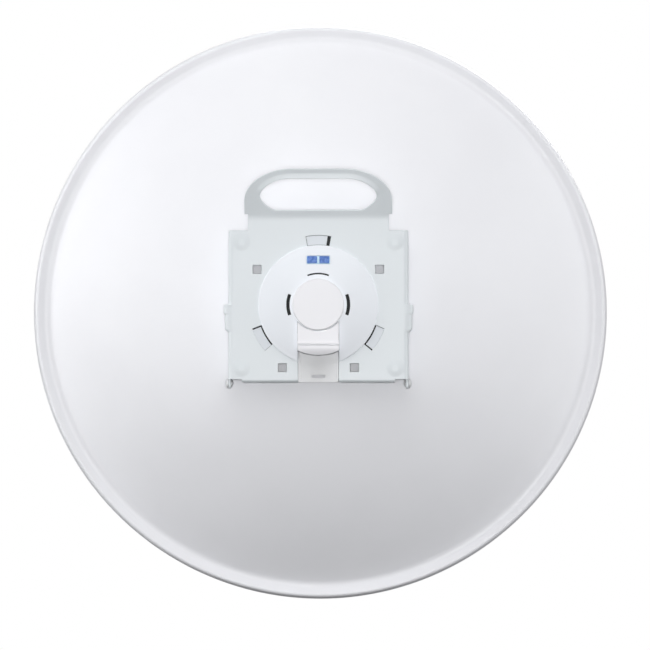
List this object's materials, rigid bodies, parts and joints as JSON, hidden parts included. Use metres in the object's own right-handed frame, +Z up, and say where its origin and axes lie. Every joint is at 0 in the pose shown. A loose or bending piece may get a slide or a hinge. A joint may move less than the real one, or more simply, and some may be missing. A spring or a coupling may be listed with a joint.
{
  "type": "wireless bridge dish antenna",
  "caption": "Round parabolic dish antenna with a feed on the boresight, a radio housing on the hub and a folded steel back plate with a carry handle.",
  "frame": {"origin": "on the back plate's flat rear face, on the centre line, 66 mm above the hub's axis", "axes": "+Y along the boresight, the way the bowl opens; +Z up; +X to the right as seen from behind"},
  "size_m": [0.52, 0.2189, 0.52],
  "materials": {
    "dish_coat": "white satin powder coat",
    "plate_coat": "white satin powder coat, slightly cooler than the dish",
    "housing_plastic": "white satin moulded plastic",
    "grey_plastic": "light grey moulded plastic",
    "dark_plastic": "black moulded plastic",
    "zinc": "zinc plated steel",
    "rubber": "black rubber",
    "pale_lens": "pale translucent plastic",
    "blue_lens": "blue translucent plastic"
  },
  "bodies": {
    "root": {"reflector": "dish_coat", "back_plate": "plate_coat", "flange_rivet_left": "zinc", "flange_rivet_right": "zinc", "standoff_upper_left": "zinc", "standoff_upper_right": "zinc", "standoff_lower_left": "zinc", "standoff_lower_right": "zinc", "housing_body": "housing_plastic", "housing_dome": "housing_plastic", "end_disc": "housing_plastic", "port_cover": "housing_plastic", "network_jack": "dark_plastic", "cable_tray": "grey_plastic", "lock_ring": "housing_plastic", "status_window": "pale_lens", "status_lens_left": "blue_lens", "status_lens_right": "blue_lens", "hub_gasket": "rubber", "feed_collar": "housing_plastic", "feed_tube": "housing_plastic", "feed_band": "grey_plastic", "feed_horn": "housing_plastic", "feed_radome_cap": "housing_plastic"}
  },
  "joints": []
}
